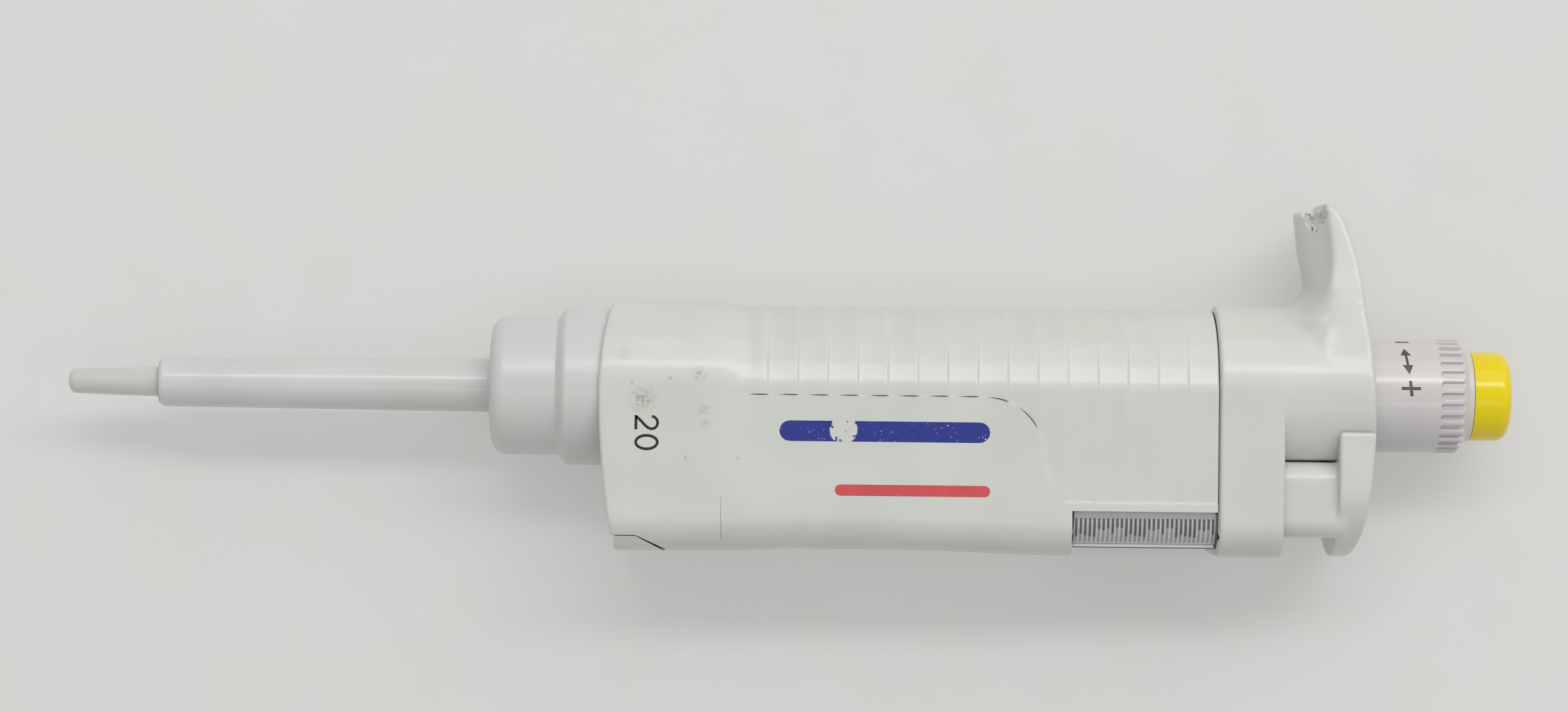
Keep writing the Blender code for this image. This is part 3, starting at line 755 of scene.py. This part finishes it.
def sliced(bm, cells):
    for axis in (0, 1):
        values = [v.co[axis] for v in bm.verts]
        low, high = min(values), max(values)
        count = int((high - low) / cells)
        for k in range(1, count + 1):
            spot, normal = Vector((0, 0, 0)), Vector((0, 0, 0))
            spot[axis], normal[axis] = low + k * cells, 1
            geometry = bm.verts[:] + bm.edges[:] + bm.faces[:]
            bmesh.ops.bisect_plane(bm, geom=geometry, plane_co=spot, plane_no=normal)
    return bm


def laid(name, bm, bend, material, body):
    """Gives a flat shape a little thickness and bends it onto a surface. bend maps (u, v, height)."""
    bmesh.ops.remove_doubles(bm, verts=bm.verts, dist=1e-5)
    grown = bmesh.ops.extrude_face_region(bm, geom=bm.faces[:], use_keep_orig=True)
    top = [item for item in grown["geom"] if isinstance(item, bmesh.types.BMVert)]
    bm.verts.index_update()
    raised = {v.index for v in top}
    verts = [bend(v.co.x, v.co.y, 0.025 if v.index in raised else -0.05) for v in bm.verts]
    faces = [tuple(v.index for v in f.verts) for f in bm.faces]
    bm.free()
    return piece(name, verts, faces, material, body, smooth=50)


def stroke(points, width, closed=False):
    """Quads along a line of (u, v) points."""
    count = len(points)
    sides = []
    for i, (u, v) in enumerate(points):
        before = points[i - 1] if closed or i else points[i]
        after = points[(i + 1) % count] if closed or i < count - 1 else points[i]
        du, dv = after[0] - before[0], after[1] - before[1]
        length = math.hypot(du, dv)
        nu, nv = -dv / length * width / 2, du / length * width / 2
        sides.append(((u + nu, v + nv), (u - nu, v - nv)))
    pairs = list(zip(sides, sides[1:] + sides[:1])) if closed else list(zip(sides, sides[1:]))
    return [[a[0], b[0], b[1], a[1]] for a, b in pairs]


def digit_shape(text, size):
    """A bmesh of a digit from Blender's own font, centred."""
    curve = bpy.data.curves.new("digit", "FONT")
    curve.body, curve.size = text, size
    curve.align_x, curve.align_y = "CENTER", "CENTER"
    curve.resolution_u = 3
    holder = bpy.data.objects.new("digit", curve)
    scene.collection.objects.link(holder)
    graph = bpy.context.evaluated_depsgraph_get()
    mesh = bpy.data.meshes.new_from_object(holder.evaluated_get(graph))
    bm = bmesh.new()
    bm.from_mesh(mesh)
    bpy.data.objects.remove(holder)
    bpy.data.meshes.remove(mesh)
    return bm


COUNTER_Y = -17.5
DRUM_R = 5.8


def drum(name, node, body, start, shown):
    """A drum with rounded edges and ten digits round it. The digit shown faces the window."""
    end = start + 6.5
    rim = [(start, 1.3), (start, DRUM_R, 0.25), (end, DRUM_R, 0.25), (end, 1.3)]
    lathe(name, rim, DRUM, body, [node], 64, (COUNTER_Y, 0))
    whole = bmesh.new()
    for n in range(10):
        bm = digit_shape(str(n), 4.2)
        bmesh.ops.rotate(bm, verts=bm.verts, cent=(0, 0, 0), matrix=QUARTER)
        turned = (n - shown) * 2 * math.pi * DRUM_R / 10
        bmesh.ops.translate(bm, verts=bm.verts, vec=(0, turned, 0))
        mesh = bpy.data.meshes.new("digit")
        bm.to_mesh(mesh)
        bm.free()
        whole.from_mesh(mesh)
        bpy.data.meshes.remove(mesh)

    def bend(u, v, height):
        a = math.pi + v / DRUM_R
        r = DRUM_R + height
        return (start + 3.25 + u, COUNTER_Y + r * math.cos(a), r * math.sin(a))

    laid(name + "_digits", sliced(whole, 0.7), bend, DIGIT_INK, body)


QUARTER = Matrix.Rotation(-math.pi / 2, 3, "Z")
for index, (body, shown) in enumerate((("tenths", 0), ("units", 2), ("tens", 0))):
    drum(f"{body}_drum_printed", f"{body}_drum", body, 165.2 + 6.8 * index, shown)


# ---------------------------------------------------------------- prints


def onto_side(u, v, height):
    return (u, v, HALF + height)


def onto_label(u, v, height):
    """The label's plateau lies a little below the housing's flat side."""
    depth = float(shell_depth(np.array([u]), np.array([v]), np.array([1.0]))[0])
    return (u, v, HALF - depth + height)


def oval(u, v, half_u, half_v, steps):
    angles = np.linspace(0, 2 * math.pi, steps, False)
    return [(u + half_u * math.cos(t), v + half_v * math.sin(t)) for t in angles]


# The capacity, read from the end: its upright is +X, and its digits run towards -Y.
TWO = [
    (96.7, -4.55), (97.15, -4.75), (97.5, -5.1), (97.62, -5.6), (97.5, -6.15), (97.1, -6.5),
    (96.6, -6.62), (96.1, -6.45), (95.6, -6.05), (95.1, -5.5), (94.6, -5.0), (94.12, -4.6),
]
FOOT = [(94.12, -4.42), (94.12, -6.72)]
ZERO = oval(95.85, -8.75, 1.74, 1.08, 44)
PEN = 0.44
laid(
    "capacity_digits",
    flat_shape(stroke(TWO, PEN) + stroke(FOOT, PEN) + stroke(ZERO, PEN, True), 5),
    onto_side, BLACK_INK, "handle",
)


def bar(u0, u1, v0, v1):
    """A stripe with rounded ends."""
    r = (v1 - v0) / 2
    made = []
    for u, start in ((u0 + r, math.pi / 2), (u1 - r, -math.pi / 2)):
        angles = np.linspace(start, start + math.pi, 9)
        made += [(u + r * math.cos(t), v0 + r + r * math.sin(t)) for t in angles]
    return made


for stripe, ink, span in (
    ("label_stripe_blue", BLUE_INK, (117.2, 151.1, -8.3, -5.0)),
    ("label_stripe_red", RED_INK, (126.2, 151.2, -17.0, -15.2)),
):
    laid(stripe, flat_shape([bar(*span)], 1.0), onto_label, ink, "handle")


KNOB_R = 9.35


def onto_knob(u, v, height):
    """v is a distance round the knob from its top towards +Y."""
    a = v / KNOB_R
    r = KNOB_R + height
    return (u, r * math.sin(a), r * math.cos(a))


def turned_by(degrees):
    return math.radians(degrees) * KNOB_R


def block(u, v, width, height):
    corners = ((-1, -1), (1, -1), (1, 1), (-1, 1))
    return [(u + across * width / 2, v + along * height / 2) for across, along in corners]


def arrowhead(base_v, tip_v):
    return [(MARK_U - 0.85, base_v), (MARK_U + 0.85, base_v), (MARK_U, tip_v)]


def slanted(points):
    """The marks stand on a slightly slanted line round the knob."""
    return [(u - 0.09 * (v - plus_v), v) for u, v in points]


MARK_U = 219.45
HEAD = 1.7
plus_v, minus_v = turned_by(7.5), turned_by(69)
arrow_low, arrow_high = turned_by(22), turned_by(55)
shaft = arrow_high - arrow_low - 2 * HEAD + 0.2
marks = {
    "mark_plus": [block(MARK_U, plus_v, 3.1, 0.5)],
    "mark_plus_stem": [block(MARK_U, plus_v + away, 0.5, 0.98) for away in (0.77, -0.77)],
    "mark_arrow_low": [arrowhead(arrow_low + HEAD, arrow_low)],
    "mark_arrow_high": [arrowhead(arrow_high - HEAD, arrow_high)],
    "mark_arrow_shaft": [block(MARK_U, (arrow_low + arrow_high) / 2, 0.4, shaft)],
    "mark_minus": [block(MARK_U + 0.2, minus_v, 2.2, 0.5)],
}
for mark, loops in marks.items():
    bent = flat_shape([slanted(loop) for loop in loops])
    laid(mark, bent, onto_knob, MARK_INK, "knob")


# ---------------------------------------------------------------- turned parts

lathe(
    "tip_cone_turned",
    [
        (0.45, 0.5, 0.1), (0.45, 2.05, 1.4), (15.3, 2.5), (17, 2.9), (71.8, 2.9), (71.8, 4.5), (76, 4.5),
        (76, 1.1), (21, 1.1), (20, 0.5),
    ],
    CONE, "handle", ["tip_cone"],
)
lathe(
    "ejector_sleeve_turned",
    [
        (15.45, 3.3, 0.2), (15.45, 4.05, 0.9), (69.6, 4.38, 0.6), (70, 4.9, 0.2), (70, 11.3, 2.5),
        (80.9, 11.3, 0.3), (82.2, 12.9, 1.2), (101, 12.9, 0.3), (101, 11.8), (83.6, 11.8), (82, 10.2),
        (71.3, 10.2), (71.3, 3.4),
    ],
    SLEEVE, "ejector", ["ejector_sleeve"], 128,
)
lathe(
    "button_cap_turned",
    [
        (230.4, 0.01), (230.4, 4.6), (228.2, 4.6), (228.2, 6.0), (230.2, 6.0), (230.2, 7.3, 0.15),
        (236.4, 7.3, 1.9), (236.4, 0.01),
    ],
    YELLOW, "knob", ["button_cap"],
)


# ---------------------------------------------------------------- knob

FLUTES = 32
FLUTE_START = 224.45
FLUTE_HALF = 0.54
FLUTE_FLOOR = 8.75


def knob():
    """The knob's skin from the shoulder inside the housing to the rim under the button.

    Its flutes are slots of constant floor radius. They start with a round end and run out through
    the chamfer.
    """
    profile = filleted([
        (203, KNOB_R, 0.3), (228.0, KNOB_R, 0.15), (229.2, 7.65, 0.2), (230.12, 7.42, 0.1), (230.12, 6.3),
    ])
    inner = [(227.6, 6.3), (227.6, 2.95), (224.6, 2.95), (224.6, 7.9), (203, 7.9)]
    fine = [(x, KNOB_R) for x in (205, 210, 215, 219, 222, 223.6)]
    fine += [(float(x), KNOB_R) for x in np.linspace(224.2, 227.7, 36)]
    first = [p for p in profile if p[0] < 204]
    last = [p for p in profile if p[0] > 227.75]
    dense = []
    for a, b in zip(last, last[1:]):
        steps = 24 if math.dist(a, b) > 1 else 1
        for k in range(steps):
            dense.append(tuple(p + (q - p) * k / steps for p, q in zip(a, b)))
    points = first + fine + dense + [last[-1]] + inner
    per_flute = 16
    sides = FLUTES * per_flute
    verts = []
    for x, r in points:
        for k in range(sides):
            a = 2 * math.pi * k / sides
            step = (k + per_flute // 2) % per_flute - per_flute // 2
            across = step / per_flute * (2 * math.pi * KNOB_R / FLUTES)
            away = math.hypot(across, max(FLUTE_START + FLUTE_HALF - x, 0))
            depth = 0.0
            if r > FLUTE_FLOOR and 223.7 < x:
                depth = (r - FLUTE_FLOOR) * float(ramp((FLUTE_HALF + 0.06 - away) / 0.14))
            verts.append((x, (r - depth) * math.cos(a), (r - depth) * math.sin(a)))
    faces = rings_to_faces(len(points), sides, True)
    piece("volume_knob_fluted", verts, faces, KNOB, "knob", ["volume_knob"], 40)


knob()


# ---------------------------------------------------------------- upper housing with its finger hook


def curve_of(values, knots):
    """A piecewise cubic through (place, value) knots, with its slope kept continuous."""
    at = np.array([k[0] for k in knots], float)
    to = np.array([k[1] for k in knots], float)
    slopes = np.gradient(to, at)
    values = np.clip(values, at[0], at[-1])
    i = np.clip(np.searchsorted(at, values) - 1, 0, len(at) - 2)
    width = at[i + 1] - at[i]
    t = (values - at[i]) / width
    return (
        (2 * t**3 - 3 * t**2 + 1) * to[i] + (t**3 - 2 * t**2 + t) * width * slopes[i]
        + (3 * t**2 - 2 * t**3) * to[i + 1] + (t**3 - t**2) * width * slopes[i + 1]
    )


# Knots across the upper housing and its hook, each as (y, value): the X of its end face, the flanks'
# half width, the X of the crease beside the rib, and the X of the rib's front.
END_FACE = [
    (-30, 213.5), (-5.4, 213.5), (0, 213.25), (8.8, 212.7), (13.2, 212.0), (17.5, 211.5), (20.6, 211.0),
    (23.6, 210.3), (26.6, 209.3), (29.3, 208.1), (31.2, 206.4), (33, 203),
]
FLANK_START = 4.33
FLANK_HALF = [
    (-5, 16.35), (FLANK_START, 13.32), (5.5, 12.98), (7, 12.62), (10, 12.0), (15, 11.0), (20, 10.05),
    (26, 9.0), (34, 7.6),
]
CREASE = [
    (0, 199.5), (8, 201.5), (12, 203.0), (16.6, 205.4), (20, 206.2), (24.5, 206.2), (28, 205.7),
    (31, 205.0), (34, 204),
]
RIB_FRONT = [
    (0, 200.5), (10, 202.2), (14, 203.0), (16.6, 203.0), (24.5, 201.7), (29.3, 201.2), (34, 200.6),
]


def housing_outline(y, z, back, half, front, corner):
    """Signed distance to the housing's cross-section."""
    radial = np.hypot(np.where(y > 0, y * half / back, y), z) - half
    qy = np.abs(y - (front + 20) / 2) - (20 - front) / 2 + corner
    qz = np.abs(z) - half + corner
    box = np.hypot(np.maximum(qy, 0), np.maximum(qz, 0)) + np.minimum(np.maximum(qy, qz), 0) - corner
    box = np.maximum(box, y)
    return np.minimum(radial, box), radial


def upper_housing_field(x, y, z):
    outline, round_part = housing_outline(y, z, 14.4, HALF, FRONT_Y, FRONT_RADIUS)
    skirt = smooth_max(outline, np.abs(x - 193.4) - 5.2, 0.5)
    barrel = smooth_max(round_part, -10.6 - y, 0.25)
    barrel = np.maximum(barrel, 190.0 - x)
    body = np.minimum(skirt, barrel)
    # The hook: two flanks that close in towards its tip, and a rounded rib between them.
    half = curve_of(y, FLANK_HALF)
    crease = curve_of(y, CREASE)
    rib = curve_of(y, RIB_FRONT)
    share = np.clip(np.abs(z) / np.maximum(half, 1), 0, 1)
    front = rib + (crease - rib) * (0.5 - 0.5 * np.cos(math.pi * share**1.25))
    flank = (np.abs(z) - half) * 0.96
    hook = smooth_max(flank, (front - x) * 0.9, 0.9 + 4.5 * ramp((19 - y) / 9))
    tip = 31.2 - 1.4 * ramp((205.6 - x) / 0.5)
    hook = smooth_max(hook, y - tip, 0.8)
    hook = np.maximum(hook, FLANK_START - y)
    # The fillet is at the root of the finger's side only. The flanks leave the barrel at a tangent.
    beside = half - np.sqrt(np.maximum(HALF**2 - (y * HALF / 14.4) ** 2, 0))
    blend = 0.05 + 4.2 * ramp(((front - x) * 0.9 + 6) / 6) * ramp((beside - 0.2) / 4)
    solid = smooth_min(body, hook, blend)
    solid = smooth_max(solid, (x - curve_of(y, END_FACE)) * 0.98, 1.1)
    # A chip is broken out of the rib's end.
    chip = np.sqrt(((x - 203.8) / 1.9) ** 2 + ((y - 29.4) / 2.3) ** 2 + ((z - 6.4) / 4.2) ** 2) - 1
    rough = 0.3 * np.sin(x * 4.1 + 1.0) * np.sin(y * 3.7) * np.sin(z * 2.9 + 0.5)
    solid = smooth_max(solid, -(chip * 1.2 + rough), 0.2)
    # Inside: the cavity over the counter, the knob's bore and the slot for the key's stem.
    inner, _ = housing_outline(y, z, 13.0, 12.6, -25.1, 4.8)
    cavity = np.maximum(inner, x - 196.9)
    bore = np.hypot(y, z) - 9.65
    slot = np.maximum(np.maximum(y + 10.75, -23.4 - y), np.abs(z) - 12.5)
    hollow = np.minimum(np.minimum(cavity, bore), slot)
    # A tongue closes most of the seam to the grip shell.
    tongue, _ = housing_outline(y, z, 13.8, 13.4, -25.9, 5.6)
    solid = np.minimum(solid, smooth_max(tongue, np.abs(x - 188.5) - 0.5, 0.1))
    return smooth_max(solid, -hollow, 0.25)


def relaxed(made, low, high, rounds):
    """Evens out the vertices of a made piece that lie inside a box."""
    low, high = world(*low), world(*high)
    bm = bmesh.new()
    bm.from_mesh(made.data)
    inside = [v for v in bm.verts if all(low[i] < v.co[i] < high[i] for i in range(3))]
    for _ in range(rounds):
        bmesh.ops.smooth_vert(
            bm, verts=inside, factor=0.5, use_axis_x=True, use_axis_y=True, use_axis_z=True,
        )
    bm.to_mesh(made.data)
    bm.free()


head = net(
    "upper_housing_moulded", upper_housing_field, (187.5, -27.5, -15), (214.9, 32.3, 15), 0.4,
    HOUSING, "handle", ["upper_housing"],
)
for bottom, top in ((6, 15), (-15, -6)):
    relaxed(head, (197.5, 2.2, bottom), (211.0, 17, top), 10)


# ---------------------------------------------------------------- ejector key


def ejector_key_field(x, y, z):
    plate = np.sqrt((np.maximum(-14.0 - y, 0) / 12.5) ** 2 + (z / 14.0) ** 2) - 1
    plate = plate * 12.0
    plate = np.maximum(plate, np.abs(z) - 14.0)
    plate = smooth_max(plate, y + 5.9, 0.5)
    plate = smooth_max(plate, 14.3 - np.hypot(y, z), 0.4)
    top = 213.45 - 0.09 * np.maximum(-6 - y, 0) - 0.014 * np.maximum(-18.0 - y, 0) ** 2
    plate = smooth_max(plate, x - top, 0.9)
    plate = smooth_max(plate, 207.4 - x, 0.5)
    qy = np.abs(y + 17.0) - 6.1 + 3.2
    qz = np.abs(z) - 12.2 + 3.2
    stem = np.hypot(np.maximum(qy, 0), np.maximum(qz, 0)) + np.minimum(np.maximum(qy, qz), 0) - 3.2
    stem = np.maximum(stem, np.abs(x - 202.5) - 6.3)
    return smooth_min(plate, stem, 0.5)


net(
    "ejector_key_moulded", ejector_key_field, (195.4, -27.5, -15), (214.4, -5.0, 15), 0.4,
    HOUSING, "ejector", ["ejector_key"],
)


# ---------------------------------------------------------------- stage, light and camera


def stage_mesh(name, verts, faces, material):
    mesh = bpy.data.meshes.new(name)
    mesh.from_pydata(verts, [], faces)
    mesh.materials.append(material)
    made = bpy.data.objects.new(name, mesh)
    scene.collection.objects.link(made)


floor_colour = tuple(c * 0.6 for c in srgb(216, 215, 213))
FLOOR = moulded("pale_floor", floor_colour, 0.6, tone=0.01, dirt=0.0)
floor_shader = FLOOR.node_tree.nodes["Principled BSDF"]
floor_shader.inputs["Emission Color"].default_value = (1.0, 0.99, 0.975, 1)
floor_shader.inputs["Emission Strength"].default_value = 0.27

stage_mesh("floor", [(-3, -3, 0), (3, -3, 0), (3, 3, 0), (-3, 3, 0)], [(0, 1, 2, 3)], FLOOR)


def area_light(name, angle, along, distance, size, power):
    """A soft light over the pipette, tilted from straight up towards +Y and moved along it."""
    a = math.radians(angle)
    data = bpy.data.lights.new(name, "AREA")
    data.shape, data.size, data.size_y = "RECTANGLE", size[0], size[1]
    data.energy = power
    lamp = bpy.data.objects.new(name, data)
    spot = Vector((along, distance * math.sin(a), distance * math.cos(a)))
    up = spot.normalized()
    side = Vector((1, 0, 0)) - up * up.x
    side.normalize()
    turn = Matrix((side, up.cross(side), up)).transposed().to_4x4()
    lamp.matrix_world = Matrix.Translation(spot) @ turn
    scene.collection.objects.link(lamp)


area_light("main_light", 32, 0.3, 1.6, (2.0, 0.26), 10.8)
area_light("second_light", -17, 0.2, 1.6, (1.8, 0.3), 1.6)
area_light("window_light", 55, 0.9, 2.4, (3.0, 1.6), 14)

background = bpy.data.worlds.new("studio")
background.use_nodes = True
background.node_tree.nodes["Background"].inputs[0].default_value = (1.0, 1.0, 1.0, 1)
background.node_tree.nodes["Background"].inputs[1].default_value = 0.53
scene.world = background
scene.view_settings.view_transform = "Standard"

camera = bpy.data.cameras.new("camera")
camera.sensor_width = SENSOR
camera.lens = SENSOR * VIEW_HEIGHT / VIEW_WIDTH
camera.clip_end = 20
view = bpy.data.objects.new("camera", camera)
view.location = world(VIEW_X, VIEW_Y, VIEW_HEIGHT)
view.rotation_euler = (0, 0, VIEW_TURN)
scene.collection.objects.link(view)
scene.camera = view

NODE_LOOKS = {
    "housing_plastic": HOUSING, "cone_plastic": CONE, "knob_plastic": KNOB, "button_plastic": YELLOW,
    "clear_plastic": CLEAR, "inner_plastic": DARK, "drum_plastic": DRUM, "steel": STEEL,
    "brass": BRASS, "seal_rubber": RUBBER, "seal_plastic": WAXY,
}
for entry in frame["record"]["subparts"]:
    node = frame["nodes"][entry["node"]]
    node.data.materials.clear()
    node.data.materials.append(NODE_LOOKS[entry["material_slot"]])
